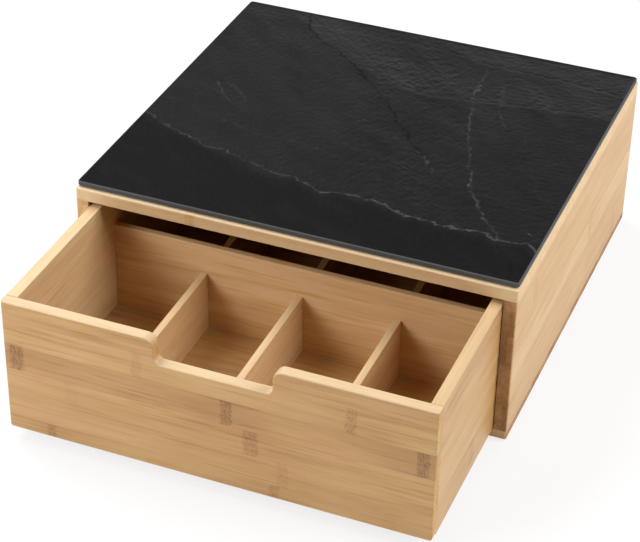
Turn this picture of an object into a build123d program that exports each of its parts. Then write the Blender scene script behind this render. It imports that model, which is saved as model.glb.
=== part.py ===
"""Bamboo box for tea bags: a case with a glass top plate and one drawer with eight compartments.

Millimetres, +Z up, the drawer pulls out towards -Y. The origin is the middle of the case's
underside, and the feet reach a little below it. The drawer is drawn part way out.
"""
from build123d import *
import os

# ---- case: boards glued up round one opening -------------------------------------------------
case_width = 310.0
case_depth = 296.0
case_height = 119.0             # underside of the bottom board to the top of the top board
top_board = 9.0
side_board = 9.0
bottom_board = 7.0
back_board = 5.0
back_setback = 3.0              # the back panel stands this far in from the rear edges
back_groove = 3.0               # depth of the groove that holds the back panel
case_edge_round = 1.5           # sanded outer edges

# ---- what the case stands on and carries -----------------------------------------------------
foot_height = 1.5
foot_diameter = 14.0
foot_from_edge = 16.0           # foot centre to the case's outer faces
glass_thickness = 4.0
glass_side_margin = 0.5         # glass edge to the case's side faces
glass_end_margin = 2.0          # glass edge to the case's front and rear faces
glass_corner = 2.5
glass_arris = 0.5               # ground bevel round the plate
pad_height = 0.6                # clear adhesive pads under the glass
pad_diameter = 14.0
pad_from_edge = 24.0            # pad centre to the glass edges

# ---- drawer ----------------------------------------------------------------------------------
drawer_open = 121.0             # how far the drawer is drawn out
side_gap = 0.6                  # drawer to the case's side boards, each side
floor_gap = 0.4                 # drawer to the case's bottom board
top_gap = 3.6                   # drawer to the case's top board
rear_gap = 2.0                  # drawer back to the case's back panel when shut
front_board = 8.0
drawer_side_board = 8.0
drawer_back_board = 8.0
back_rabbet = 3.0               # how deep the back board's ends sit in the side boards
front_edge_round = 1.2
front_corner = 2.0              # lower corners of the front, seen from the front
inner_edge_round = 0.5          # all other upper edges
floor_board = 4.0
floor_groove = 4.0              # how deep the drawer floor enters the boards round it
floor_groove_height = 5.0       # lower edge of the drawer to the groove

# ---- finger notch in the drawer front --------------------------------------------------------
notch_width = 79.0
notch_depth = 18.0
notch_upper_round = 7.0
notch_lower_round = 4.5

# ---- dividers --------------------------------------------------------------------------------
columns = 4
cross_board = 5.0
cross_top = 66.0                # top of the cross divider above the drawer floor
divider_board = 5.0
divider_top = 44.0              # top of the short dividers above the drawer floor
dado_depth = 1.5                # how deep a divider's end enters the board it meets
dado_gap = 0.1                  # play round a divider's end and round the drawer floor

# ---- dowels ----------------------------------------------------------------------------------
dowel_diameter = 5.0
dowel_length = 16.0
dowel_in_face = 4.0             # the part of a dowel that sits in the face of a board
dowel_gap = 0.1                 # glue gap past each end of a dowel
case_dowels_per_joint = 2
case_dowel_end_margin = 45.0    # outer dowels to the front and rear faces
drawer_dowel_margin = 24.0      # dowels to the upper and lower edges of the drawer front

# ---- heights and places that follow ----------------------------------------------------------
case_floor = bottom_board
case_ceiling = case_height - top_board
case_front = -case_depth / 2
case_rear = case_depth / 2
opening_half = case_width / 2 - side_board

drawer_low = case_floor + floor_gap
drawer_high = case_ceiling - top_gap
drawer_height = drawer_high - drawer_low
drawer_half = opening_half - side_gap
drawer_inner_half = drawer_half - drawer_side_board
drawer_depth = case_depth - back_setback - back_board - rear_gap
front_face = case_front - drawer_open
front_back = front_face + front_board
drawer_rear = front_face + drawer_depth
back_inner = drawer_rear - drawer_back_board
groove_low = drawer_low + floor_groove_height
drawer_floor = groove_low + floor_board
cross_middle = (front_back + back_inner) / 2
cross_front = cross_middle - cross_board / 2
cross_rear = cross_middle + cross_board / 2
cell_width = (2 * drawer_inner_half - (columns - 1) * divider_board) / columns
dowel_radius = dowel_diameter / 2


def block(x_low, x_high, y_low, y_high, z_low, z_high):
    """A square-edged block between two corners."""
    middle = ((x_low + x_high) / 2, (y_low + y_high) / 2, (z_low + z_high) / 2)
    return Pos(*middle) * Box(x_high - x_low, y_high - y_low, z_high - z_low)


def edges_at(shape, axis, **where):
    """Straight edges along an axis whose middle lies at the given coordinates."""
    found = shape.edges().filter_by(GeomType.LINE).filter_by(axis)
    for name, value in where.items():
        found = [e for e in found if abs(getattr(e.center(), name) - value) < 1e-4]
    return ShapeList(found)


def disc(x, y, z_low, height, diameter):
    """An upright round pad that stands on z_low."""
    return Pos(x, y, z_low) * Cylinder(diameter / 2, height, align=(Align.CENTER, Align.CENTER, Align.MIN))


def dowel_along(direction, start, length, radius):
    """A round peg from a start point along a direction."""
    return Solid.make_cylinder(radius, length, Plane(origin=start, z_dir=direction))


def column_x(index):
    """Left face of the divider after the column with this index."""
    return -drawer_inner_half + (index + 1) * cell_width + index * divider_board


# ---- dowel places: (start point, direction), the start lying in the face of the covering board --
def case_dowel_places():
    """Upright dowels that pin the top and bottom boards to the two side boards."""
    step = (case_depth - 2 * case_dowel_end_margin) / (case_dowels_per_joint - 1)
    places = []
    for side in (-1, 1):
        x = side * (case_width / 2 - side_board / 2)
        for k in range(case_dowels_per_joint):
            y = case_front + case_dowel_end_margin + k * step
            places.append(((x, y, case_floor - dowel_in_face), (0, 0, 1)))
            places.append(((x, y, case_ceiling + dowel_in_face), (0, 0, -1)))
    return places


def drawer_dowel_places():
    """Level dowels that pin the front board to the ends of the two side boards."""
    places = []
    for z in (drawer_low + drawer_dowel_margin, drawer_high - drawer_dowel_margin):
        for side in (-1, 1):
            x = side * (drawer_half - drawer_side_board / 2)
            places.append(((x, front_back - dowel_in_face, z), (0, 1, 0)))
    return places


def dowels(places):
    """The dowels at a list of places, as separate solids."""
    return Compound([dowel_along(way, start, dowel_length, dowel_radius) for start, way in places])


def bored(board, places):
    """A board with the blind holes that the dowels at these places sit in."""
    for start, way in places:
        back_off = Vector(*start) - Vector(*way) * dowel_gap
        board -= dowel_along(way, back_off, dowel_length + 2 * dowel_gap, dowel_radius)
    return board


# ---- case ------------------------------------------------------------------------------------
def back_panel_slot():
    """The space of the back panel, with its play, that the boards round it are grooved for."""
    y_high = case_rear - back_setback + dado_gap
    y_low = case_rear - back_setback - back_board - dado_gap
    reach = back_groove + dado_gap
    return block(-opening_half - reach, opening_half + reach, y_low, y_high,
                 case_floor - reach, case_ceiling + reach)


def case_side(side):
    """A side board, between the bottom and top boards."""
    inner = side * opening_half
    outer = side * case_width / 2
    board = block(min(inner, outer), max(inner, outer), case_front, case_rear, case_floor, case_ceiling)
    board = fillet(edges_at(board, Axis.Z, X=outer), case_edge_round)
    return bored(board - back_panel_slot(), case_dowel_places())


def case_top():
    """The top board, which runs over both side boards."""
    half = case_width / 2
    board = block(-half, half, case_front, case_rear, case_ceiling, case_height)
    board = fillet(board.edges().filter_by(Axis.Z), case_edge_round)
    board = fillet(board.faces().sort_by(Axis.Z)[-1].edges(), case_edge_round)
    return bored(board - back_panel_slot(), case_dowel_places())


def case_bottom():
    """The bottom board, under both side boards; the drawer runs on it."""
    half = case_width / 2
    board = block(-half, half, case_front, case_rear, 0, case_floor)
    board = fillet(board.edges().filter_by(Axis.Z), case_edge_round)
    board = fillet(board.faces().sort_by(Axis.Z)[0].edges(), case_edge_round)
    return bored(board - back_panel_slot(), case_dowel_places())


def case_back():
    """The thin back panel, held in grooves on its four edges."""
    reach = back_groove
    return block(-opening_half - reach, opening_half + reach,
                 case_rear - back_setback - back_board, case_rear - back_setback,
                 case_floor - reach, case_ceiling + reach)


def corner_points(half_x, half_y):
    """The four corners of a rectangle round the origin."""
    return [(sx * half_x, sy * half_y) for sx in (-1, 1) for sy in (-1, 1)]


def feet():
    """Four non-slip pads under the bottom board."""
    places = corner_points(case_width / 2 - foot_from_edge, case_depth / 2 - foot_from_edge)
    return Compound([disc(x, y, -foot_height, foot_height, foot_diameter) for x, y in places])


def glass_half_sizes():
    """Half the width and half the depth of the glass plate."""
    return case_width / 2 - glass_side_margin, case_depth / 2 - glass_end_margin


def adhesive_pads():
    """Clear pads that hold the glass just off the top board."""
    half_x, half_y = glass_half_sizes()
    places = corner_points(half_x - pad_from_edge, half_y - pad_from_edge) + [(0, 0)]
    return Compound([disc(x, y, case_height, pad_height, pad_diameter) for x, y in places])


def glass_plate():
    """The stone-look glass plate, corners rounded and edges ground."""
    half_x, half_y = glass_half_sizes()
    outline = RectangleRounded(2 * half_x, 2 * half_y, glass_corner)
    plate = extrude(Plane.XY.offset(case_height + pad_height) * outline, glass_thickness)
    rims = plate.faces().sort_by(Axis.Z)
    return chamfer(rims[0].edges() + rims[-1].edges(), glass_arris)


# ---- drawer ----------------------------------------------------------------------------------
def drawer_floor_slot():
    """The space of the drawer floor, with its play, that the four drawer boards are grooved for."""
    reach = floor_groove + dado_gap
    return block(-drawer_inner_half - reach, drawer_inner_half + reach, front_back - reach, back_inner + reach,
                 groove_low, drawer_floor + dado_gap)


def cross_slot():
    """The space of the cross divider, with its play."""
    reach = drawer_inner_half + dado_depth + dado_gap
    return block(-reach, reach, cross_front - dado_gap, cross_rear + dado_gap,
                 drawer_floor, drawer_floor + cross_top + dado_gap)


def divider_slots(y_low, y_high):
    """The spaces of one row of short dividers, with their play."""
    slots = []
    for k in range(columns - 1):
        x = column_x(k)
        slots.append(block(x - dado_gap, x + divider_board + dado_gap,
                           y_low - dado_depth - dado_gap, y_high + dado_depth + dado_gap,
                           drawer_floor, drawer_floor + divider_top + dado_gap))
    return slots


def notch_outline():
    """The front seen from the front: lower corners rounded, an S-ended finger notch in the top."""
    half = notch_width / 2
    board = Rectangle(2 * drawer_half, drawer_height, align=(Align.CENTER, Align.MIN))
    board = fillet(board.vertices().sort_by(Axis.Y)[:2], front_corner)
    notch = Pos(0, drawer_height) * Rectangle(notch_width, 2 * notch_depth)
    board -= notch
    lips = [v for v in board.vertices() if abs(abs(v.X) - half) < 1e-4 and v.Y > drawer_height - 1e-4]
    board = fillet(lips, notch_upper_round)
    pits = [v for v in board.vertices() if abs(abs(v.X) - half) < 1e-4 and v.Y < drawer_height - notch_depth + 1e-4]
    return fillet(pits, notch_lower_round)


def drawer_front():
    """The front board with its finger notch, which covers the ends of the drawer sides."""
    plane = Plane(origin=(0, front_face, drawer_low), x_dir=(1, 0, 0), z_dir=(0, -1, 0))
    board = extrude(plane * notch_outline(), -front_board)
    faces = board.faces().sort_by(Axis.Y)
    board = fillet(faces[0].edges(), front_edge_round)
    rear = board.faces().sort_by(Axis.Y)[-1]
    upper = [e for e in rear.edges() if e.center().Z > drawer_high - notch_depth - 1]
    board = fillet(upper, inner_edge_round)
    board -= drawer_floor_slot()
    for slot in divider_slots(front_back, cross_front):
        board -= slot
    return bored(board, drawer_dowel_places())


def back_rabbet_space():
    """The space of the back board at the rear ends of the side boards, open to the rear."""
    reach = drawer_inner_half + back_rabbet + dado_gap
    return block(-reach, reach, back_inner, drawer_rear + 1, drawer_low - 1, drawer_high + 1)


def drawer_side(side):
    """A side board, behind the front and outside the back."""
    inner = side * drawer_inner_half
    outer = side * drawer_half
    board = block(min(inner, outer), max(inner, outer), front_back, drawer_rear, drawer_low, drawer_high)
    board = fillet(edges_at(board, Axis.Y, Z=drawer_high), inner_edge_round)
    board = fillet(edges_at(board, Axis.Z, X=outer, Y=drawer_rear), inner_edge_round)
    board = board - drawer_floor_slot() - cross_slot() - back_rabbet_space()
    return bored(board, drawer_dowel_places())


def drawer_back():
    """The back board, its ends let into the rear ends of the two side boards."""
    half = drawer_inner_half + back_rabbet
    board = block(-half, half, back_inner, drawer_rear, drawer_low, drawer_high)
    board = fillet(edges_at(board, Axis.X, Z=drawer_high), inner_edge_round)
    board -= drawer_floor_slot()
    for slot in divider_slots(cross_rear, back_inner):
        board -= slot
    return board


def drawer_floor_panel():
    """The drawer floor, in grooves on its four edges."""
    reach = floor_groove
    return block(-drawer_inner_half - reach, drawer_inner_half + reach, front_back - reach, back_inner + reach,
                 groove_low, drawer_floor)


def cross_divider():
    """The tall divider across the drawer, let into both sides and slotted for the short ones."""
    reach = drawer_inner_half + dado_depth
    top = drawer_floor + cross_top
    board = block(-reach, reach, cross_front, cross_rear, drawer_floor, top)
    board = fillet(edges_at(board, Axis.X, Z=top), inner_edge_round)
    for slot in divider_slots(front_back, cross_front) + divider_slots(cross_rear, back_inner):
        board -= slot
    return board


def short_divider(index, y_low, y_high):
    """A short divider between two columns, its ends let into the boards that it meets."""
    x = column_x(index)
    top = drawer_floor + divider_top
    board = block(x, x + divider_board, y_low - dado_depth, y_high + dado_depth, drawer_floor, top)
    return fillet(edges_at(board, Axis.Y, Z=top), inner_edge_round)


# ---- the pieces by name ----------------------------------------------------------------------
pieces = {
    "case_top": case_top(),
    "case_bottom": case_bottom(),
    "case_left_side": case_side(-1),
    "case_right_side": case_side(1),
    "case_back": case_back(),
    "case_dowels": dowels(case_dowel_places()),
    "non_slip_feet": feet(),
    "glass_adhesive_pads": adhesive_pads(),
    "glass_plate": glass_plate(),
    "drawer_front": drawer_front(),
    "drawer_left_side": drawer_side(-1),
    "drawer_right_side": drawer_side(1),
    "drawer_back": drawer_back(),
    "drawer_floor": drawer_floor_panel(),
    "drawer_dowels": dowels(drawer_dowel_places()),
    "cross_divider": cross_divider(),
}
for number in range(columns - 1):
    pieces[f"front_divider_{number + 1}"] = short_divider(number, front_back, cross_front)
    pieces[f"rear_divider_{number + 1}"] = short_divider(number, cross_rear, back_inner)

os.makedirs("parts", exist_ok=True)
for node, shape in pieces.items():
    export_step(shape, f"parts/{node}.step")
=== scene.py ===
from collections import namedtuple
import math

import bpy
import numpy as np
from bpy.props import FloatProperty, FloatVectorProperty, PointerProperty
from mathutils import Matrix, Vector


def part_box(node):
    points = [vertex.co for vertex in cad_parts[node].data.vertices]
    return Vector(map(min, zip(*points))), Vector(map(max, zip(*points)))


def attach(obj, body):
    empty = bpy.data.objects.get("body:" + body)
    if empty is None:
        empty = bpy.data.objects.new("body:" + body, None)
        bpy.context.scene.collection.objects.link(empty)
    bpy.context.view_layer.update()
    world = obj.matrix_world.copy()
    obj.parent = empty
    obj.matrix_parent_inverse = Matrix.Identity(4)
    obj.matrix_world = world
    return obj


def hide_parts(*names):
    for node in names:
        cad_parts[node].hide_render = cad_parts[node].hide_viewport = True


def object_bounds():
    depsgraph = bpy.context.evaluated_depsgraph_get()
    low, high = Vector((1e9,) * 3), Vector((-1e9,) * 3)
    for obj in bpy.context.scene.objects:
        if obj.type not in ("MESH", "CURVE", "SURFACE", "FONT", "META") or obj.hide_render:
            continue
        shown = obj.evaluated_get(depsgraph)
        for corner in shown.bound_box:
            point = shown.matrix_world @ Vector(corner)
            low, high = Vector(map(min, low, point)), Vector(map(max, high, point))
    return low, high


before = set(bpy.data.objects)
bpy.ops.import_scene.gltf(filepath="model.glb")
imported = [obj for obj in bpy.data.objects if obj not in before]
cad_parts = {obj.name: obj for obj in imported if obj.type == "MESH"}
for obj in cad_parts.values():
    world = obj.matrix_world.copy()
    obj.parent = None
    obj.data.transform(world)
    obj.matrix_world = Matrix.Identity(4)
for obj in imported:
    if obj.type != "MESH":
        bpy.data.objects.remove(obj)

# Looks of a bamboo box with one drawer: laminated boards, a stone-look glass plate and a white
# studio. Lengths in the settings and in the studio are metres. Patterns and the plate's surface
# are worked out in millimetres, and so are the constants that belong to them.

bl_info = {
    "name": "Drawer Box Finishes",
    "version": (1, 0, 0),
    "blender": (4, 5, 0),
    "location": "3D View > Sidebar > Drawer Box",
    "description": "Laminated bamboo, a stone-look glass plate and a studio for a one-drawer box",
    "category": "Object",
}

CAD_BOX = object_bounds()
MM = 1000.0


# ---- settings --------------------------------------------------------------------------------
def colour(name, description, default):
    """A colour property in linear light."""
    return FloatVectorProperty(name=name, description=description, default=default,
                               subtype="COLOR", size=3, min=0.0, max=1.0)


def share(name, description, default):
    """A plain number from 0 to 1."""
    return FloatProperty(name=name, description=description, default=default,
                         min=0.0, max=1.0, subtype="FACTOR")


def length(name, description, default):
    """A length in metres."""
    return FloatProperty(name=name, description=description, default=default,
                         min=0.0, unit="LENGTH", precision=5)


def angle(name, description, degrees):
    """An angle given in degrees and kept in radians."""
    return FloatProperty(name=name, description=description, default=math.radians(degrees),
                         subtype="ANGLE")


def power(name, description, default):
    """A lamp's power in watts."""
    return FloatProperty(name=name, description=description, default=default,
                         min=0.0, unit="POWER")


class BambooSettings(bpy.types.PropertyGroup):
    """Sizes and colours of the laminated bamboo."""

    pale: colour("Pale fibre", "Lightest wood between the fibre bundles", (0.71, 0.50, 0.275))
    honey: colour("Honey", "Usual colour of a strip", (0.575, 0.345, 0.132))
    caramel: colour("Caramel", "Colour of the darker streaks", (0.440, 0.232, 0.078))
    brown: colour("Brown", "Colour inside the node marks", (0.250, 0.112, 0.036))
    blush: colour("Blush", "Rosy tone of some stretches", (0.590, 0.332, 0.158))
    # Painted highlight: faces that look up turn this cream by the height of their normal, standing
    # in for light from above.
    painted_highlight: colour("Painted highlight", "Sanded edges that look up", (0.745, 0.585, 0.375))
    strip: length("Strip width", "Width of one glued strip", 0.0189)
    internode: length("Internode", "Distance between the node marks of one strip", 0.275)
    strip_contrast: share("Strip contrast", "How much strips differ in tone", 0.20)
    streaks: share("Streaks", "Strength of the wispy streaks", 0.25)
    fibres: share("Fibres", "Strength of the fine fibres", 0.11)
    roughness: share("Roughness", "Roughness of the satin lacquer", 0.42)


class SlateSettings(bpy.types.PropertyGroup):
    """Relief and colours of the stone-look plate."""

    stone: colour("Stone", "Colour of the dark stone look", (0.0040, 0.0041, 0.0042))
    vein: colour("Vein", "Colour of the thin veins", (0.070, 0.070, 0.068))
    edge: colour("Edge", "Colour of the ground glass edge", (0.085, 0.088, 0.087))
    relief: length("Relief", "Height of the riven ledges", 0.00026)
    ripple: length("Ripple", "Height of the fine ripples", 0.000085)
    roughness: share("Roughness", "Roughness of the matt face", 0.45)


class StudioSettings(bpy.types.PropertyGroup):
    """Camera, lamps and the room's light."""

    distance: length("Distance", "Camera to the point that it looks at", 1.39387)
    azimuth: angle("Azimuth", "Camera's turn round the box", 21.2582)
    elevation: angle("Elevation", "Camera's height above the horizon", 34.0801)
    roll: angle("Roll", "Camera's turn round its own axis", 1.1555)
    lens: FloatProperty(name="Lens", description="Focal length on a frame 36 mm wide",
                        default=114.888, min=1.0, unit="CAMERA")
    key: power("Key lamp", "Softbox at the front left", 13.0)
    fill: power("Fill lamp", "Softbox at the left, a little behind", 19.5)
    side: power("Side lamp", "Softbox at the right", 18.0)
    rim: power("Rim lamp", "Softbox at the right, behind", 3.0)
    back: power("Back lamp", "Softbox that the plate mirrors", 1.7)
    ambient: share("Ambient", "Strength of the room's light", 0.06)


SETTINGS = {"drawer_box_bamboo": BambooSettings, "drawer_box_slate": SlateSettings,
            "drawer_box_studio": StudioSettings}


# ---- shader maths ----------------------------------------------------------------------------
class Value:
    """A shader output that Python's operators work on. Each operator adds one Math node."""

    def __init__(self, shader, output):
        self.shader = shader
        self.output = output

    def math(self, operation, *others):
        """A Math node whose first input is this value."""
        inputs = dict(enumerate((self, *others)))
        return self.shader.add("ShaderNodeMath", {"operation": operation}, inputs)

    def __add__(self, other):
        return self.math("ADD", other)

    def __sub__(self, other):
        return self.math("SUBTRACT", other)

    def __rsub__(self, other):
        return self.shader.add("ShaderNodeMath", {"operation": "SUBTRACT"}, {0: other, 1: self})

    def __mul__(self, other):
        return self.math("MULTIPLY", other)

    def __truediv__(self, other):
        return self.math("DIVIDE", other)

    def __abs__(self):
        return self.math("ABSOLUTE")

    __radd__ = __add__
    __rmul__ = __mul__

    def step(self, low, high):
        """A smooth step: 0 at low, 1 at high. It falls where low is the larger one."""
        settings = {"interpolation_type": "SMOOTHSTEP"}
        return self.shader.add("ShaderNodeMapRange", settings, {0: self, 1: low, 2: high})


class Shader:
    """A node tree, with one method that adds any node."""

    def __init__(self, owner):
        owner.use_nodes = True
        self.owner = owner
        self.tree = owner.node_tree
        self.tree.nodes.clear()

    def add(self, kind, settings=None, inputs=None, output=0):
        """Adds a node of this type, sets it up, fills or links its inputs, returns an output."""
        node = self.tree.nodes.new(kind)
        settings = dict(settings or {})
        for stop, (position, value) in enumerate(settings.pop("stops", ())):
            elements = node.color_ramp.elements
            element = elements[stop] if stop < len(elements) else elements.new(position)
            element.position = position
            element.color = (*value, 1.0)
        for name, value in settings.items():
            setattr(node, name, value)
        for socket, value in (inputs or {}).items():
            if isinstance(value, Value):
                self.tree.links.new(value.output, node.inputs[socket])
            else:
                node.inputs[socket].default_value = value
        return Value(self, node.outputs[output]) if len(node.outputs) else None

    def axes(self):
        """The object's own coordinates in millimetres, by axis name."""
        place = self.add("ShaderNodeTexCoord", output="Object")
        return {name: self.add("ShaderNodeSeparateXYZ", None, {0: place}, axis) * MM
                for axis, name in enumerate("XYZ")}

    def noise(self, x, y, z, detail=2.0, roughness=0.5, distortion=0.0):
        """Smooth noise from about 0 to 1 at a point given in units of its own grain size."""
        place = self.add("ShaderNodeCombineXYZ", None, {0: x, 1: y, 2: z})
        values = {"Vector": place, "Scale": 1.0, "Detail": detail, "Roughness": roughness,
                  "Distortion": distortion}
        return self.add("ShaderNodeTexNoise", None, values)

    def pebbles(self, size, detail=2.0, roughness=0.5):
        """Noise whose grains have one size in millimetres on all three axes."""
        return self.noise(*(value / size for value in self.axes().values()), detail, roughness)

    def dice(self, key):
        """Three random numbers from 0 to 1 that change with the key."""
        throw = self.add("ShaderNodeTexWhiteNoise", {"noise_dimensions": "1D"}, {"W": key},
                         "Color")
        return [self.add("ShaderNodeSeparateColor", None, {0: throw}, part) for part in range(3)]

    def mix(self, factor, first, second):
        """One colour turning into another as the factor goes from 0 to 1."""
        first, second = ((*c, 1.0) if not isinstance(c, Value) else c for c in (first, second))
        return self.add("ShaderNodeMix", {"data_type": "RGBA"}, {0: factor, 6: first, 7: second}, 2)

    def bump(self, height, strength, distance):
        """A bumped normal from a height of about 0 to 1 and that step's depth in metres."""
        values = {"Height": height, "Strength": strength, "Distance": distance}
        return self.add("ShaderNodeBump", None, values)

    def surface(self, inputs):
        """A Principled surface with these inputs, joined to the material's output."""
        body = self.add("ShaderNodeBsdfPrincipled", None, inputs)
        self.add("ShaderNodeOutputMaterial", None, {"Surface": body})
        return self.owner


def new_shader(name):
    """The shader of a new material."""
    return Shader(bpy.data.materials.new(name))


# ---- bamboo ----------------------------------------------------------------------------------
# A board's fibres run along its grain axis, and its strips lie side by side along its stack axis.
# The first glue line lies phase strips below the board's lowest edge, and seed picks its random
# tones. Shade makes the whole board paler, and darker below 0; on some boards it is painted light
# and on others painted shade, as the tables say. Dark is how much darker its ends are, and paler
# below 0, and the number after it is how strong the painted highlight on the board's upper edges
# is. Marks are the nodes of single strips that stand out.
Board = namedtuple("Board", "grain stack phase seed shade dark crest marks",
                   defaults=(0.0, 0.10, 0.85, ()))
# A node mark: its place along the grain, the strip's number from the lowest edge, half the mark's
# length, and its strength.
Mark = namedtuple("Mark", "place strip half strength")

# The top board's paler ends are a painted highlight. The right side's darker ends, its front end
# beside the drawer, are end grain and painted shade of the drawer's shadow, and its faces are a
# little darker as painted shade set against the side lamp. The bottom board's darker ends are end
# grain and painted shade along the lower edge.
CASE_BOARDS = {
    "case_top": Board("X", "Y", 0.30, 3, shade=0.43, dark=-0.20, crest=0.55, marks=(
        Mark(-70.5, 0, 4.5, 0.8), Mark(96.0, 0, 4.0, 0.3))),
    "case_bottom": Board("X", "Y", 0.55, 11, dark=0.36, crest=0.0),
    "case_left_side": Board("Y", "Z", 0.20, 23, shade=0.10, dark=0.05),
    "case_right_side": Board("Y", "Z", 0.45, 37, shade=0.08, dark=0.48),
    "case_back": Board("X", "Z", 0.65, 41, crest=0.0),
}
# The left side is paler as painted light on its inner face, and the right side a little darker as
# painted shade set against the side lamp.
DRAWER_BOARDS = {
    "drawer_front": Board("X", "Z", 0.455, 5, shade=-0.05, dark=-0.06, crest=0.6, marks=(
        Mark(-137.0, 3, 6.0, 1.0), Mark(-51.7, 4, 4.2, 0.40), Mark(-114.5, 0, 3.8, 0.75),
        Mark(8.3, 3, 4.8, 0.85), Mark(25.0, 2, 6.2, 0.75), Mark(46.8, 1, 4.6, 0.35),
        Mark(41.0, 0, 4.0, 0.60), Mark(91.0, 4, 4.3, 0.65), Mark(137.0, 3, 4.8, 0.90))),
    "drawer_left_side": Board("Y", "Z", 0.35, 53, shade=0.40, crest=0.2),
    "drawer_right_side": Board("Y", "Z", 0.15, 67, shade=-0.06, dark=0.05, crest=0.45, marks=(
        Mark(-147.0, 2, 4.0, 0.8), Mark(-147.0, 1, 4.0, 0.6))),
    "drawer_back": Board("X", "Z", 0.50, 71),
    "drawer_floor": Board("X", "Y", 0.10, 83, crest=0.0),
}
# The cross divider and the front dividers are paler as painted light inside the compartments, and
# the rear dividers darker as painted shade under the case's top.
DIVIDERS = {"cross_divider": Board("X", "Z", 0.25, 97, shade=0.26, crest=0.0)}
for number in (1, 2, 3):
    DIVIDERS[f"front_divider_{number}"] = Board(
        "Y", "Z", 0.2 * number, 100 + 7 * number, shade=0.34, crest=0.2)
    DIVIDERS[f"rear_divider_{number}"] = Board(
        "Y", "Z", 0.3 * number, 130 + 7 * number, shade=-0.22, crest=0.0)

# A noise: the length and width of its grains, its octaves of finer noise, how strong those are,
# and how far it is distorted. On bamboo the length lies along the fibres.
Grain = namedtuple("Grain", "length width detail roughness distortion", defaults=(2.0, 0.5, 0.0))

PATCHES = Grain(65.0, 8.0)
WISPS = Grain(60.0, 1.8, 3.0, 0.6, 0.3)
FIBRES = Grain(32.0, 0.55, 2.0, 0.6)
BLUSHES = Grain(150.0, 11.0)
DASHES = Grain(0.8, 3.2, 2.0, 0.55, 0.8)
# The size of the bundles' dots in the end grain.
BUNDLE = 0.75
# How far strips slide along each other at most.
SLIDE = 900.0
# The node marks bend by a noise: how far it reaches, its grain across the board, and how far apart
# it is read for different strips, in grains.
BEND = 5.0
BEND_GRAIN = 2.5
BEND_SPREAD = 90.0
# Factors that keep the random keys of strips and plies apart, and the hair that keeps a board's
# far face in its second ply.
STRIP_KEY = 7.31
PLY_KEY = 3.7
HAIR = 0.01

# Each step is the value where a feature begins and the value where it is full. Wisps, blushes,
# dashes and bundles go by their noise, the glue line by the distance from a strip's middle in strip
# widths, nodes and halos by the distance from the node, a strip's luck in having strong nodes by
# its dice, and the painted highlight on upper edges by the height of the normal.
WISP_STEP = (0.48, 0.74)
BLUSH_STEP = (0.42, 0.68)
DASH_STEP = (0.46, 0.62)
BUNDLE_STEP = (0.50, 0.68)
GLUE_STEP = (0.486, 0.5)
NODE_STEP = (5.5, 3.0)
HALO_STEP = (38.0, 4.0)
LUCK_STEP = (0.35, 0.9)
PAINTED_HIGHLIGHT_STEP = (0.15, 0.75)
# How far from a board's end the end grain begins and is full.
END_BEGINS = 0.5
END_FULL = 0.1
# Strength of the nodes that no mark names, and of their halos.
NODE_STRENGTH = 0.45
HALO_STRENGTH = 0.3
# Where a mark is full and where its halo begins, over half its length, and how strong a mark is
# between its dashes.
MARK_FULL = 0.6
HALO_BEGINS = 12.0
MARK_GROUND = 0.36

# Tone runs from 0, brown, to 1, pale. It starts from the plain tone, and each feature moves it by
# its own share at most.
PLAIN_TONE = 0.64
PATCH_SHARE = 0.42
HALO_SHARE = 0.13
MARK_SHARE = 0.40
GLUE_SHARE = 0.07
BUNDLE_SHARE = 0.10
BLOCK_SHARE = 0.16
CARAMEL_TONE = 0.36
HONEY_TONE = 0.66
# How far blushes turn the skin, and how much less they do inside a mark.
BLUSH_SHARE = 0.35
BLUSH_LOSS = 0.3
# The part of the painted highlight on upper edges that wisps take away.
WISP_LOSS = 0.25


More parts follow.
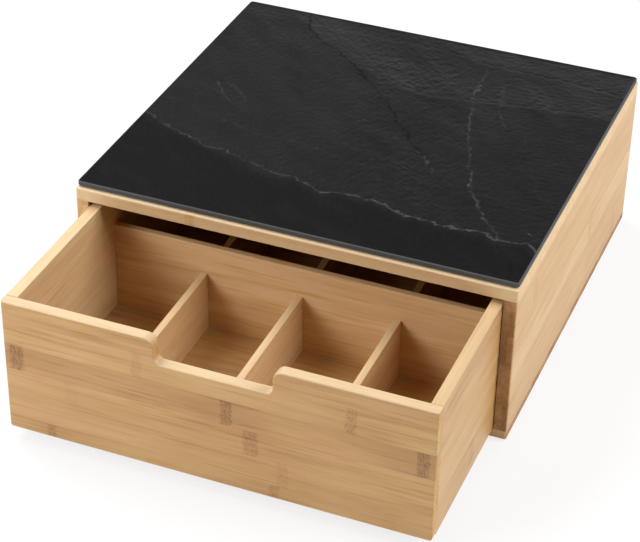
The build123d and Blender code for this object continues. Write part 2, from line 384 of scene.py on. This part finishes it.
def bamboo(node, board, look):
    """The lacquered bamboo of one board.

    A strip's number is the distance across the board over the strip width, rounded down, and the
    other ply of the board lies half a strip over. Tone is the strip's own random tone, with soft
    patches, wispy streaks, fine fibres, dark glue lines and node marks. A node mark is a bent
    window round one place in each internode, filled with short dashes across the grain. The ends
    of the board are darker, block by block, and show the bundles as dots. Tone runs from brown
    over caramel and honey to pale, and some stretches turn rosy. Faces that look up get a painted
    highlight: they turn cream by the height of their normal, standing in for light from above.
    """
    shader = new_shader("bamboo_" + node)
    low, high = (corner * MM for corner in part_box(node))
    grain, stack = ("XYZ".index(axis) for axis in (board.grain, board.stack))
    depth = 3 - grain - stack
    point = shader.axes()
    along, across, through = (point["XYZ"[axis]] for axis in (grain, stack, depth))

    def fibrous(start, size):
        """Noise whose grains lie along the fibres, read from this place along the board."""
        width = size.width
        return shader.noise(start / size.length, across / width, through / width, *size[2:])

    ply = ((through - low[depth]) / (0.5 * (high[depth] - low[depth]) + HAIR)).math("FLOOR")
    row = (across - low[stack]) / (look.strip * MM) + ply * 0.5 + board.phase
    strip = row.math("FLOOR")
    tone_dice, slide_dice, luck = shader.dice(strip * STRIP_KEY + ply * PLY_KEY + board.seed)
    slid = along + slide_dice * SLIDE

    patch = fibrous(slid, PATCHES)
    wisps = fibrous(slid, WISPS).step(*WISP_STEP)
    fine = fibrous(slid, FIBRES)
    rosy = fibrous(slid, BLUSHES).step(*BLUSH_STEP)
    glue = abs(row.math("FRACT") - 0.5).step(*GLUE_STEP)

    wander = shader.noise(slide_dice * BEND_SPREAD, across / BEND_GRAIN, through / BEND_GRAIN, 1.0)
    bent = along + wander * BEND - 0.5 * BEND
    internode = look.internode * MM
    off_node = abs(((bent + slide_dice * SLIDE) / internode).math("FRACT") - 0.5) * internode
    window = off_node.step(*NODE_STEP) * luck.step(*LUCK_STEP) * NODE_STRENGTH
    halo = off_node.step(*HALO_STEP) * luck * HALO_STRENGTH
    for place, number, half, strength in board.marks:
        off_mark = abs(bent - place)
        own = strip.math("COMPARE", float(number), 0.5) * strength
        window = window.math("MAXIMUM", off_mark.step(half, half * MARK_FULL) * own)
        halo = halo.math("MAXIMUM", off_mark.step(half * HALO_BEGINS, half) * own)
    dashes = fibrous(along, DASHES).step(*DASH_STEP)
    mark = window * (MARK_GROUND + dashes * (1.0 - MARK_GROUND))

    half_length = 0.5 * (high[grain] - low[grain])
    off_middle = abs(along - 0.5 * (high[grain] + low[grain]))
    end = off_middle.step(half_length - END_BEGINS, half_length - END_FULL)
    bundles = shader.noise(across / BUNDLE, through / BUNDLE, 0.0, 1.0).step(*BUNDLE_STEP)

    end_tone = bundles * BUNDLE_SHARE + (luck - 0.5) * BLOCK_SHARE + board.dark
    tone = (PLAIN_TONE + board.shade + (tone_dice - 0.5) * look.strip_contrast
            + (patch - 0.5) * PATCH_SHARE - wisps * look.streaks
            + (fine - 0.5) * (look.fibres * 2.0) - halo * HALO_SHARE - mark * MARK_SHARE
            - glue * GLUE_SHARE - end * end_tone)
    stops = ((0.0, tuple(look.brown)), (CARAMEL_TONE, tuple(look.caramel)),
             (HONEY_TONE, tuple(look.honey)), (1.0, tuple(look.pale)))
    skin = shader.add("ShaderNodeValToRGB", {"stops": stops}, {0: tone})
    skin = shader.mix(rosy * (BLUSH_SHARE - mark * BLUSH_LOSS), skin, tuple(look.blush))
    # Painted highlight: faces that look up are turned cream by the height of their normal, standing
    # in for light from above.
    normal = shader.add("ShaderNodeTexCoord", output="Normal")
    upward = shader.add("ShaderNodeSeparateXYZ", None, {0: normal}, 2).step(*PAINTED_HIGHLIGHT_STEP)
    painted_highlight = upward * (board.crest - wisps * WISP_LOSS * board.crest)
    skin = shader.mix(painted_highlight, skin, tuple(look.painted_highlight))
    height = fine * 0.5 + wisps * 0.25 - mark * 0.15 - glue * 0.3 - end * bundles * 0.4
    return shader.surface({
        "Base Color": skin,
        "Roughness": look.roughness + fine * 0.12 - 0.06 + end * 0.2 + mark * 0.08,
        "Normal": shader.bump(height, strength=0.4, distance=0.0002),
    })


def dress(node, material):
    """Assigns a material to every slot of a carried-over node."""
    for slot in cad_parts[node].material_slots:
        slot.material = material


def finish_boards(boards):
    """Gives each board's node its own bamboo."""
    look = bpy.context.scene.drawer_box_bamboo
    for node, board in boards.items():
        dress(node, bamboo(node, board, look))


# ---- stone-look plate ------------------------------------------------------------------------
# Veins, cracks and ledges as the points they pass through on the plate, from its middle.
FRONT_VEIN_LEFT = ((-156, -42), (-131, -55), (-97, -68), (-73, -72), (-47, -82), (-31, -85),
                   (-22, -84), (-12, -90), (0, -94))
FRONT_VEIN_RIGHT = ((0, -94), (14, -90), (28, -91), (41, -92), (60, -99), (89, -101), (117, -99),
                    (130, -105), (145, -100), (156, -110))
LONG_VEIN = FRONT_VEIN_LEFT + FRONT_VEIN_RIGHT[1:]
LONG_CRACK = ((-103, 140), (-94, 119), (-77, 105), (-61, 94), (-46, 82), (-26, 63), (-3, 38),
              (15, 16), (32, -6), (48, -24), (59, -38))
LEFT_CRACK = ((-156, 22), (-134, 13), (-116, 4), (-106, -5))
CORNER_CRACK = ((130, -111), (139, -121), (145, -133), (150, -150))
BACK_LEDGE = ((15, 128), (49, 121), (82, 119), (117, 118), (156, 112))
RIDGE = ((-104, 134), (-86, 116), (-68, 98), (-49, 85), (-33, 78), (-16, 68), (8, 60), (28, 59),
         (50, 61), (67, 65), (87, 68), (117, 73), (145, 76))
DARK_CRACKS = (LONG_CRACK, CORNER_CRACK)
GROOVES = (LONG_CRACK, LEFT_CRACK, BACK_LEDGE, CORNER_CRACK)

# A vein: its points, half its width and how light it is.
Vein = namedtuple("Vein", "points half_width light")

VEINS = (
    Vein(FRONT_VEIN_LEFT, 1.25, 0.62),
    Vein(FRONT_VEIN_RIGHT, 1.5, 0.80),
    Vein(((50, 110), (53, 69), (60, 42), (68, 13), (78, -15), (92, -54), (110, -81), (130, -105)),
         1.5, 0.55),
    Vein(((-148, -17), (-122, -23), (-97, -32), (-70, -40), (-37, -40), (-17, -45), (4, -52),
          (30, -50)), 1.4, 0.30),
    Vein(((-124, 16), (-115, 4), (-106, -6)), 1.6, 0.50),
    Vein(((-119, 18), (-105, 12), (-95, 0)), 1.6, 0.45),
    Vein(((69, 94), (74, 68), (81, 48), (88, 34)), 1.8, 0.34),
    Vein(((102, 34), (108, 17), (121, -11), (136, -46)), 1.3, 0.20),
    Vein(((31, 60), (55, 63), (79, 67), (101, 57), (119, 56), (156, 59)), 1.3, 0.24),
    Vein(((140, -86), (156, -97)), 1.1, 0.50),
    Vein(((48, -24), (54, -32), (60, -41)), 1.6, 0.42),
)

# Seeds of the random waves that make edges ragged, swell the stone, bend and interrupt the veins
# and pale the stone in patches.
EDGE_SEED = 11
SWELL_SEED = 21
VEIN_SEED = 51
GAP_SEED = 61
PATCH_SEED = 71
# The turn of the stone's beds, along which swells and patches lie. Then the length and width of a
# swell, of a patch and of a gap in a vein.
BED_TURN = -0.45
SWELL = (170.0, 110.0)
PATCH = (60.0, 25.0)
GAP = (7.0, 7.0)
# The waves that make lines ragged: their lengths, and how far they push.
RAGGED = ((16.0, 0.8), (5.0, 0.15))
# The ripples: their length and width, how many waves they are made of, and for the left, the
# middle and the right of the plate their turn, seed and strength. The left zone and the right one
# fade in by a place that slants back across the plate.
RIPPLE = (3.0, 8.0)
RIPPLE_WAVES = 90
RIPPLE_ZONES = ((0.45, 31, 0.75), (0.83, 37, 1.15), (1.52, 41, 0.6))
ZONE_SLANT = 0.3
LEFT_ZONE = (10.0, -60.0)
RIGHT_ZONE = (40.0, 120.0)
# Terraces: how many there are per unit of swell, and the part of each that its riser takes.
TERRACES = 2.4
RISER = (0.40, 0.60)
# Shares of the relief's height that swells, terraces, ledges and grooves take. A ledge with a
# share below 0 falls towards the back.
SWELL_SHARE = 0.22
TERRACE_SHARE = 0.42
LEDGES = ((LONG_VEIN, 0.7), (BACK_LEDGE, -0.7), (RIDGE, -0.7))
LEDGE_HALF_WIDTH = 1.3
GROOVE_SHARE = 1.0
GROOVE_HALF_WIDTH = 1.1
# The farthest distance from a crack that is told apart.
CRACK_REACH = 5.0
# The stone's tone, and what patches, the part in front of the longest vein, the part behind the
# back ledge and the part behind the ridge add to it.
PLAIN_STONE = 0.45
PATCH_TONE = 0.05
FRONT_TONE = -0.45
BACK_TONE = 0.16
RIDGE_TONE = 0.22
# Where those parts begin and are full: by the distance behind their line, and from left to right.
FRONT_FADE = (4.0, -10.0)
LEDGE_FADE = (-2.0, 3.0)
RIDGE_FADE = (70.0, 5.0)
BACK_FROM = (-10.0, 40.0)
RIDGE_FROM = (-125.0, -95.0)
# How much a vein's light varies along it.
PATCHY = 0.20

# The plate's rounded corners, its bevels, the width of the rim over which the relief settles, the
# angle above which an edge stays sharp, and the grid: its step, and its steps across a corner.
GLASS_CORNER = 2.5
GLASS_BEVEL = 0.5
RIM_WIDTH = 3.5
SHARP_ANGLE = math.radians(32.0)
GRID_STEP = 1.07
CORNER_STEPS = 4


def waves(x, y, size, turn, seed, count=40):
    """Smooth noise of unit spread: the sum of sine waves whose wave vectors are drawn at random.
    The size is a length and a width: there is about one wave per length along the turned first
    axis and one per width across it."""
    rng = np.random.default_rng(seed)
    along, across = rng.normal(size=(2, count)) / np.array(size)[:, None]
    phase = rng.uniform(0.0, 2.0 * np.pi, count)
    u = x * math.cos(turn) + y * math.sin(turn)
    v = y * math.cos(turn) - x * math.sin(turn)
    total = np.zeros_like(x)
    for a, b, p in zip(along, across, phase):
        total += np.sin(2.0 * np.pi * (a * u + b * v) + p)
    return total * math.sqrt(2.0 / count)


def smoothstep(low, high, value):
    """0 below low, 1 above high, and a cubic ease between them."""
    t = np.clip((value - low) / (high - low), 0.0, 1.0)
    return t * t * (3.0 - 2.0 * t)


def line_distance(x, y, points):
    """Distance from each place to a line of straight runs: the least over its runs of the distance
    to the nearest point of the run."""
    best = np.full_like(x, 1e9)
    for (ax, ay), (bx, by) in zip(points, points[1:]):
        dx, dy = bx - ax, by - ay
        t = np.clip(((x - ax) * dx + (y - ay) * dy) / (dx * dx + dy * dy), 0.0, 1.0)
        best = np.minimum(best, np.hypot(x - ax - t * dx, y - ay - t * dy))
    return best


def beyond(x, y, points):
    """How far each place lies behind a line that runs from left to right, measured straight
    back."""
    return y - np.interp(x, *np.array(points, float).T)


def ragged(x, y, seed):
    """The places moved sideways by long and short waves, which makes lines drawn on them
    ragged."""
    shift_x, shift_y = (
        sum(waves(x, y, (size, size), 0.0, first + number) * push
            for number, (size, push) in enumerate(RAGGED))
        for first in (seed, seed + len(RAGGED)))
    return x + shift_x, y + shift_y


def stone_relief(x, y, look):
    """Depth of the stone look below the plate's top: broad swells, terraces cut from the swells
    where they pass a level, ripples whose crests turn from about front to back at the left to
    side to side at the right, ledges at the longest vein, at the back and at the ridge, and a
    groove along each crack and along the back ledge."""
    warp_x, warp_y = ragged(x, y, EDGE_SEED)
    swell = waves(warp_x, warp_y, SWELL, BED_TURN, SWELL_SEED)
    level = swell * TERRACES - np.floor(swell * TERRACES)
    terrace = smoothstep(*RISER, level) - level
    place = x + ZONE_SLANT * y
    left, right = smoothstep(*LEFT_ZONE, place), smoothstep(*RIGHT_ZONE, place)
    zones = zip((left, 1.0 - left - right, right), RIPPLE_ZONES)
    ripple = sum(zone * strength * waves(x, y, RIPPLE, turn, seed, RIPPLE_WAVES)
                 for zone, (turn, seed, strength) in zones)
    relief, ripple_height = look.relief * MM, look.ripple * MM
    height = relief * (SWELL_SHARE * swell + TERRACE_SHARE * terrace) + ripple_height * ripple
    for points, rise in LEDGES:
        behind = beyond(warp_x, warp_y, points)
        height += relief * rise * smoothstep(-LEDGE_HALF_WIDTH, LEDGE_HALF_WIDTH, behind)
    for points in GROOVES:
        gap = line_distance(warp_x, warp_y, points)
        height -= relief * GROOVE_SHARE * np.exp(-(gap / GROOVE_HALF_WIDTH) ** 2)
    return height.max() - height


def vein_value(x, y):
    """How deep inside a vein each place lies: a vein's light, times one less the distance to its
    middle line over its half width, at the strongest vein there."""
    warp_x, warp_y = ragged(x, y, VEIN_SEED)
    patchy = 1.0 - PATCHY + PATCHY * waves(x, y, GAP, 0.0, GAP_SEED)
    value = np.full_like(x, -1.0)
    for vein in VEINS:
        inside = 1.0 - line_distance(warp_x, warp_y, vein.points) / vein.half_width
        value = np.maximum(value, np.where(inside > 0.0, inside * vein.light * patchy, inside))
    return np.clip(value, -1.0, 1.0)


def stone_tone(x, y):
    """How pale the stone is from 0 to 1: darker in front of the longest vein, paler just behind
    the ridge and behind the back ledge's right part, and uneven in broad patches."""
    warp_x, warp_y = ragged(x, y, EDGE_SEED)
    front = smoothstep(*FRONT_FADE, beyond(warp_x, warp_y, LONG_VEIN))
    past_ledge = smoothstep(*LEDGE_FADE, beyond(warp_x, warp_y, BACK_LEDGE))
    back = past_ledge * smoothstep(*BACK_FROM, x)
    behind = beyond(warp_x, warp_y, RIDGE)
    near_ridge = smoothstep(*LEDGE_FADE, behind) * smoothstep(*RIDGE_FADE, behind)
    ridge = near_ridge * smoothstep(*RIDGE_FROM, x)
    patches = waves(warp_x, warp_y, PATCH, BED_TURN, PATCH_SEED)
    added = PATCH_TONE * patches + FRONT_TONE * front + BACK_TONE * back + RIDGE_TONE * ridge
    return np.clip(PLAIN_STONE + added, 0.0, 1.0)


def crack_distance(x, y):
    """The distance to the nearer of the two dark cracks, up to their reach."""
    warp_x, warp_y = ragged(x, y, EDGE_SEED)
    gaps = [line_distance(warp_x, warp_y, points) for points in DARK_CRACKS]
    return np.minimum(np.minimum(*gaps), CRACK_REACH)


def ruled_line(half, corner):
    """Grid lines from -half to half: even ones inside, and finer ones across the two corners."""
    inner = half - corner
    count = round(2.0 * inner / GRID_STEP) + 1
    fine = np.linspace(inner, half, CORNER_STEPS + 1)[1:]
    return np.concatenate([-fine[::-1], np.linspace(-inner, inner, count), fine])


def rounded(x, y, half_x, half_y, corner):
    """A rectangle's grid turned into a rounded one's: inside each corner's square the places are
    drawn in along their ray until the square's outer sides lie on the arc."""
    a = np.clip((np.abs(x) - (half_x - corner)) / corner, 0.0, 1.0)
    b = np.clip((np.abs(y) - (half_y - corner)) / corner, 0.0, 1.0)
    pull = np.where((a > 0) & (b > 0), np.maximum(a, b) / np.maximum(np.hypot(a, b), 1e-9), 1.0)
    new_x = np.sign(x) * (np.minimum(np.abs(x), half_x - corner) + corner * a * pull)
    new_y = np.sign(y) * (np.minimum(np.abs(y), half_y - corner) + corner * b * pull)
    return new_x, new_y


def stone_plate(look):
    """The plate as one closed surface in the place of the CAD glass.

    Its top is a grid over the rounded outline, sunk by the relief, which settles to its mean
    depth at the rim. From the rim a profile of bevel, side and bevel is carried round the
    outline, and the underside closes to its middle.
    """
    low, high = (np.array(corner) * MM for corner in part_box("glass_plate"))
    centre = (low + high) / 2.0
    half_x, half_y = (high - low)[:2] / 2.0 - GLASS_BEVEL
    corner = GLASS_CORNER - GLASS_BEVEL
    x, y = np.meshgrid(ruled_line(half_x, corner), ruled_line(half_y, corner))
    x, y = rounded(x, y, half_x, half_y, corner)
    rows, columns = x.shape

    rim_gap = np.minimum(half_x - np.abs(x), half_y - np.abs(y))
    depth = stone_relief(x, y, look)
    level = depth.mean()
    depth = level + (depth - level) * smoothstep(0.0, RIM_WIDTH, rim_gap)
    top = np.stack([x, y, high[2] - centre[2] - depth], axis=-1).reshape(-1, 3)

    index = np.arange(rows * columns).reshape(rows, columns)
    rim = np.concatenate([index[0, :-1], index[:-1, -1], index[-1, :0:-1], index[:0:-1, 0]])
    straight = np.array((half_x, half_y)) - corner
    core = np.clip(top[rim, :2], -straight, straight)
    outward = top[rim, :2] - core
    outward /= np.linalg.norm(outward, axis=1, keepdims=True)
    side_low = low[2] - centre[2]
    profile = ((GLASS_BEVEL, -side_low - level - GLASS_BEVEL),
               (GLASS_BEVEL, side_low + GLASS_BEVEL), (0.0, side_low))
    rings = [np.column_stack([core + outward * (corner + out), np.full(len(rim), z)])
             for out, z in profile]
    points = np.concatenate([top, *rings, [[0.0, 0.0, side_low]]])

    count = len(rim)
    starts = rows * columns + np.arange(len(profile)) * count
    loops = [rim] + [start + np.arange(count) for start in starts]
    cells = [index[:-1, :-1], index[:-1, 1:], index[1:, 1:], index[1:, :-1]]
    quads = np.stack(cells, axis=-1).reshape(-1, 4)
    bands = [np.column_stack([upper, lower, np.roll(lower, -1), np.roll(upper, -1)])
             for upper, lower in zip(loops, loops[1:])]
    hub = np.full(count, len(points) - 1)
    fan = np.column_stack([loops[-1], hub, np.roll(loops[-1], -1)])
    faces = [*quads.tolist(), *np.concatenate(bands).tolist(), *fan.tolist()]

    mesh = bpy.data.meshes.new("stone_plate")
    mesh.from_pydata(((points + centre) / MM).tolist(), [], faces)
    mesh.polygons.foreach_set("use_smooth", np.ones(len(faces), bool))
    mesh.set_sharp_from_angle(angle=SHARP_ANGLE)
    below = len(points) - rows * columns
    edge = np.append(np.zeros(rows * columns), np.ones(below))
    edge[rim] = 1.0
    attributes = {
        "vein": np.append(vein_value(x, y), np.full(below, -1.0)),
        "tone": np.append(stone_tone(x, y), np.full(below, 0.5)),
        "crack": np.append(crack_distance(x, y), np.full(below, CRACK_REACH)),
        "edge": edge,
    }
    for name, values in attributes.items():
        layer = mesh.attributes.new(name, "FLOAT", "POINT")
        layer.data.foreach_set("value", values.astype(np.float32))
    mesh.validate()
    piece = bpy.data.objects.new("stone_plate", mesh)
    bpy.context.scene.collection.objects.link(piece)
    return piece


# The stone's noises. Their length lies from left to right.
SPECKS = Grain(0.8, 1.3, 3.0, 0.6)
FLAKES = Grain(2.0, 5.5, 3.0, 0.6, 0.6)
CLOUDS = Grain(45.0, 60.0, 3.0, 0.55)
# Where the edge, the cracks and the veins begin and are full, and the specks that let a vein show.
EDGE_STEP = (0.05, 0.6)
CRACK_STEP = (1.1, 0.2)
VEIN_STEP = (0.0, 0.75)
SPECK_STEP = (0.36, 0.60)
# What is left of a vein between those specks.
VEIN_GROUND = 0.28
# The darkest and the lightest stone over the stone's own colour.
DARK_STONE = 0.35
LIGHT_STONE = 2.4
# The matt face's Specular IOR Level, which is 0.5 on polished glass.
MATT_SPECULAR = 0.12


def stone_look(look):
    """The plate's finish: near-black stone in specks, flakes and faint clouds, with dark cracks
    and paler veins that the specks interrupt, and a ground glass edge. The rougher stone is the
    darker one."""
    shader = new_shader("stone_look_glass")
    x, y, z = shader.axes().values()
    vein, tone, crack, edge = (
        shader.add("ShaderNodeAttribute", {"attribute_name": name}, output="Fac")
        for name in ("vein", "tone", "crack", "edge"))
    edge = edge.step(*EDGE_STEP)
    crack = crack.step(*CRACK_STEP)
    specks, flakes, clouds = (
        shader.noise(x / size.length, y / size.width, z, *size[2:])
        for size in (SPECKS, FLAKES, CLOUDS))
    line = vein.step(*VEIN_STEP) * (VEIN_GROUND + specks.step(*SPECK_STEP) * (1.0 - VEIN_GROUND))
    dark = tuple(c * DARK_STONE for c in look.stone)
    light = tuple(c * LIGHT_STONE for c in look.stone)
    shade = tone * 0.9 + (clouds - 0.5) * 0.3 + (flakes - 0.5) * 1.1 - crack
    stone = shader.mix(shade, dark, light)
    stone = shader.mix(line, stone, tuple(look.vein))
    stone = shader.mix(edge, stone, tuple(look.edge))
    rougher = ((specks - 0.5) * 0.25 + (PLAIN_STONE - tone) * 0.55 + crack * 0.15 + line * 0.12
               + edge * 0.25)
    height = specks * 0.35 + flakes * 0.65 + line * 0.3 - crack * 0.7
    return shader.surface({
        "Base Color": stone,
        "Roughness": look.roughness + rougher,
        "Specular IOR Level": MATT_SPECULAR,
        "Normal": shader.bump((height - 0.5) * (1.0 - edge), strength=0.55, distance=0.00035),
    })


# ---- small parts -----------------------------------------------------------------------------
DOWEL_DARK = (0.52, 0.35, 0.18)
DOWEL_PALE = (0.72, 0.53, 0.31)
DOWEL_FIBRE_LENGTH = 9.0
DOWEL_FIBRE_WIDTH = 0.5
RUBBER = (0.012, 0.012, 0.013)
DUST = (0.055, 0.052, 0.048)
ADHESIVE = (0.55, 0.55, 0.52)
BUBBLE = (0.80, 0.80, 0.78)


def dowel_wood(axis):
    """Pale turned wood, its fibres along the dowels' axis: stretched noise between two tones."""
    shader = new_shader("dowel_wood_" + axis.lower())
    fibre = shader.noise(*(value / (DOWEL_FIBRE_LENGTH if name == axis else DOWEL_FIBRE_WIDTH)
                           for name, value in shader.axes().items()), detail=3.0, roughness=0.6)
    skin = shader.mix(fibre.step(0.3, 0.7), DOWEL_DARK, DOWEL_PALE)
    return shader.surface({"Base Color": skin, "Roughness": 0.55 + fibre * 0.2,
                           "Normal": shader.bump(fibre, strength=0.4, distance=0.0002)})


def foot_rubber():
    """Dark moulded rubber: fine pebble grain, a little dust in patches."""
    shader = new_shader("foot_rubber")
    pebble = shader.pebbles(0.45, roughness=0.6)
    dust = shader.pebbles(5.0, detail=3.0, roughness=0.6).step(0.45, 0.8)
    skin = shader.mix(dust * 0.5, RUBBER, DUST)
    return shader.surface({"Base Color": skin, "Roughness": 0.62 + pebble * 0.25,
                           "Normal": shader.bump(pebble, strength=0.6, distance=0.00015)})


def clear_adhesive():
    """Soft clear pads: a milky tone with small paler bubbles."""
    shader = new_shader("clear_adhesive")
    haze = shader.pebbles(3.0)
    bubbles = shader.pebbles(0.7, detail=1.0).step(0.66, 0.74)
    skin = shader.mix(haze * 0.6 + bubbles * 0.4, ADHESIVE, BUBBLE)
    return shader.surface({"Base Color": skin, "Roughness": 0.25 + haze * 0.2,
                           "Normal": shader.bump(bubbles, strength=0.3, distance=0.0001)})


# ---- studio ----------------------------------------------------------------------------------
FLOOR_REACH = 6.0
FLOOR_WHITE = (0.93, 0.93, 0.93)
WHITE = (1.0, 1.0, 1.0, 1.0)
# How much of the floor is plain white for the rays that see it. The rest takes the shadow.
BACKGROUND_SHARE = 0.78
# The camera's sensor, in the millimetres that Blender takes.
SENSOR_WIDTH = 36.0
# Where the camera and the softboxes look.
AIM = Vector((0.001107, -0.094623, 0.060))
BOX_MIDDLE = Vector((0.0, -0.06, 0.06))
# A softbox: azimuth from the front and elevation in degrees, width and height.
Softbox = namedtuple("Softbox", "azimuth elevation width height")

SOFTBOX_DISTANCE = 1.5
SOFTBOXES = {
    "key": Softbox(-38.0, 32.0, 0.75, 0.75),
    "fill": Softbox(-108.0, 52.0, 1.3, 1.0),
    "side": Softbox(92.0, 40.0, 1.0, 0.9),
    "rim": Softbox(148.0, 27.0, 0.9, 0.7),
    "back": Softbox(192.0, 21.0, 1.0, 0.5),
}


def direction(azimuth, elevation):
    """The unit vector from the box towards an azimuth, 0 at the front and 90 at the right."""
    level = math.cos(elevation)
    return Vector((math.sin(azimuth) * level, -math.cos(azimuth) * level, math.sin(elevation)))


def aimed(place, target, roll=0.0):
    """The placing that looks from one point to another, turned round its own axis."""
    turn = (target - place).to_track_quat("-Z", "Y").to_matrix().to_4x4()
    return Matrix.Translation(place) @ turn @ Matrix.Rotation(roll, 4, "Z")


def softbox(name, watts):
    """One rectangular area lamp from the table above, aimed at the middle of the box."""
    box = SOFTBOXES[name]
    data = bpy.data.lights.new("softbox_" + name, "AREA")
    data.shape = "RECTANGLE"
    data.size = box.width
    data.size_y = box.height
    data.energy = watts
    lamp = bpy.data.objects.new("softbox_" + name, data)
    towards = direction(math.radians(box.azimuth), math.radians(box.elevation))
    lamp.matrix_world = aimed(BOX_MIDDLE + towards * SOFTBOX_DISTANCE, BOX_MIDDLE)
    bpy.context.scene.collection.objects.link(lamp)


def background_mask(shader):
    """1 for the rays that see the background: the camera's, and those that gloss or glass sends
    on."""
    camera, gloss, glass = (
        shader.add("ShaderNodeLightPath", output=name)
        for name in ("Is Camera Ray", "Is Glossy Ray", "Is Transmission Ray"))
    return camera.math("MAXIMUM", gloss).math("MAXIMUM", glass)


def floor_finish():
    """White sweep: a matt floor that takes the shadow, whitened for the rays that see it."""
    shader = new_shader("studio_floor")
    matt = shader.add("ShaderNodeBsdfDiffuse", None, {"Color": (*FLOOR_WHITE, 1.0)})
    white = shader.add("ShaderNodeEmission", None, {"Strength": 1.0})
    factor = background_mask(shader) * BACKGROUND_SHARE
    both = shader.add("ShaderNodeMixShader", None, {0: factor, 1: matt, 2: white})
    shader.add("ShaderNodeOutputMaterial", None, {"Surface": both})
    return shader.owner


def room(studio):
    """The room's even light, white where the camera sees it."""
    world = bpy.data.worlds.new("studio_room")
    bpy.context.scene.world = world
    shader = Shader(world)
    camera_ray = shader.add("ShaderNodeLightPath", output="Is Camera Ray")
    strength = camera_ray * (1.0 - studio.ambient) + studio.ambient
    light = shader.add("ShaderNodeBackground", None, {"Color": WHITE, "Strength": strength})
    shader.add("ShaderNodeOutputWorld", None, {"Surface": light})


def studio_floor():
    """A level square that the feet stand on."""
    level = CAD_BOX[0].z
    signs = ((-1, -1), (1, -1), (1, 1), (-1, 1))
    corners = [(sx * FLOOR_REACH, sy * FLOOR_REACH, level) for sx, sy in signs]
    mesh = bpy.data.meshes.new("studio_floor")
    mesh.from_pydata(corners, [], [(0, 1, 2, 3)])
    mesh.materials.append(floor_finish())
    floor = bpy.data.objects.new("studio_floor", mesh)
    bpy.context.scene.collection.objects.link(floor)


def studio_camera(studio):
    """The camera at the photograph's angle."""
    data = bpy.data.cameras.new("camera")
    data.sensor_fit = "HORIZONTAL"
    data.sensor_width = SENSOR_WIDTH
    data.lens = studio.lens
    camera = bpy.data.objects.new("camera", data)
    place = AIM + direction(studio.azimuth, studio.elevation) * studio.distance
    camera.matrix_world = aimed(place, AIM, studio.roll)
    bpy.context.scene.collection.objects.link(camera)
    bpy.context.scene.camera = camera


# ---- operators -------------------------------------------------------------------------------
class DRAWERBOX_OT_case_boards(bpy.types.Operator):
    """Give the five boards of the case their bamboo"""

    bl_idname = "drawer_box.case_boards"
    bl_label = "Finish Case Boards"

    def execute(self, context):
        finish_boards(CASE_BOARDS)
        return {"FINISHED"}


class DRAWERBOX_OT_drawer_boards(bpy.types.Operator):
    """Give the front, sides, back and floor of the drawer their bamboo"""

    bl_idname = "drawer_box.drawer_boards"
    bl_label = "Finish Drawer Boards"

    def execute(self, context):
        finish_boards(DRAWER_BOARDS)
        return {"FINISHED"}


class DRAWERBOX_OT_dividers(bpy.types.Operator):
    """Give the seven dividers their bamboo"""

    bl_idname = "drawer_box.dividers"
    bl_label = "Finish Dividers"

    def execute(self, context):
        finish_boards(DIVIDERS)
        return {"FINISHED"}


class DRAWERBOX_OT_stone_plate(bpy.types.Operator):
    """Lay the stone-look glass plate on the case"""

    bl_idname = "drawer_box.stone_plate"
    bl_label = "Make Stone-look Plate"

    def execute(self, context):
        look = context.scene.drawer_box_slate
        piece = stone_plate(look)
        piece.data.materials.append(stone_look(look))
        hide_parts("glass_plate")
        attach(piece, "case")
        return {"FINISHED"}


class DRAWERBOX_OT_small_parts(bpy.types.Operator):
    """Finish the dowels, the non-slip feet and the adhesive pads"""

    bl_idname = "drawer_box.small_parts"
    bl_label = "Finish Small Parts"

    def execute(self, context):
        dress("case_dowels", dowel_wood("Z"))
        dress("drawer_dowels", dowel_wood("Y"))
        dress("non_slip_feet", foot_rubber())
        dress("glass_adhesive_pads", clear_adhesive())
        return {"FINISHED"}


class DRAWERBOX_OT_studio(bpy.types.Operator):
    """Set up the floor, the lamps, the room's light and the camera"""

    bl_idname = "drawer_box.studio"
    bl_label = "Set Up Studio"

    def execute(self, context):
        studio = context.scene.drawer_box_studio
        context.scene.view_settings.view_transform = "Standard"
        studio_floor()
        room(studio)
        for name in SOFTBOXES:
            softbox(name, getattr(studio, name))
        studio_camera(studio)
        return {"FINISHED"}


OPERATORS = (DRAWERBOX_OT_case_boards, DRAWERBOX_OT_drawer_boards, DRAWERBOX_OT_dividers,
             DRAWERBOX_OT_stone_plate, DRAWERBOX_OT_small_parts, DRAWERBOX_OT_studio)


class DRAWERBOX_PT_panel(bpy.types.Panel):
    """Lists the steps and their settings in the sidebar"""

    bl_label = "Drawer Box"
    bl_idname = "DRAWERBOX_PT_panel"
    bl_space_type = "VIEW_3D"
    bl_region_type = "UI"
    bl_category = "Drawer Box"

    def draw(self, context):
        for operator in OPERATORS:
            self.layout.operator(operator.bl_idname)
        for name, group in SETTINGS.items():
            box = self.layout.box()
            for prop in group.__annotations__:
                box.prop(getattr(context.scene, name), prop)


CLASSES = (*SETTINGS.values(), *OPERATORS, DRAWERBOX_PT_panel)


def register():
    """Registers the classes and hangs each group of settings on the scene."""
    for group in CLASSES:
        bpy.utils.register_class(group)
    for name, group in SETTINGS.items():
        setattr(bpy.types.Scene, name, PointerProperty(type=group))


def unregister():
    """Takes the settings off the scene and unregisters the classes."""
    for name in SETTINGS:
        delattr(bpy.types.Scene, name)
    for group in reversed(CLASSES):
        bpy.utils.unregister_class(group)


def main():
    register()
    bpy.ops.drawer_box.case_boards()
    bpy.ops.drawer_box.drawer_boards()
    bpy.ops.drawer_box.dividers()
    bpy.ops.drawer_box.stone_plate()
    bpy.ops.drawer_box.small_parts()
    bpy.ops.drawer_box.studio()


if __name__ == "__main__":
    main()
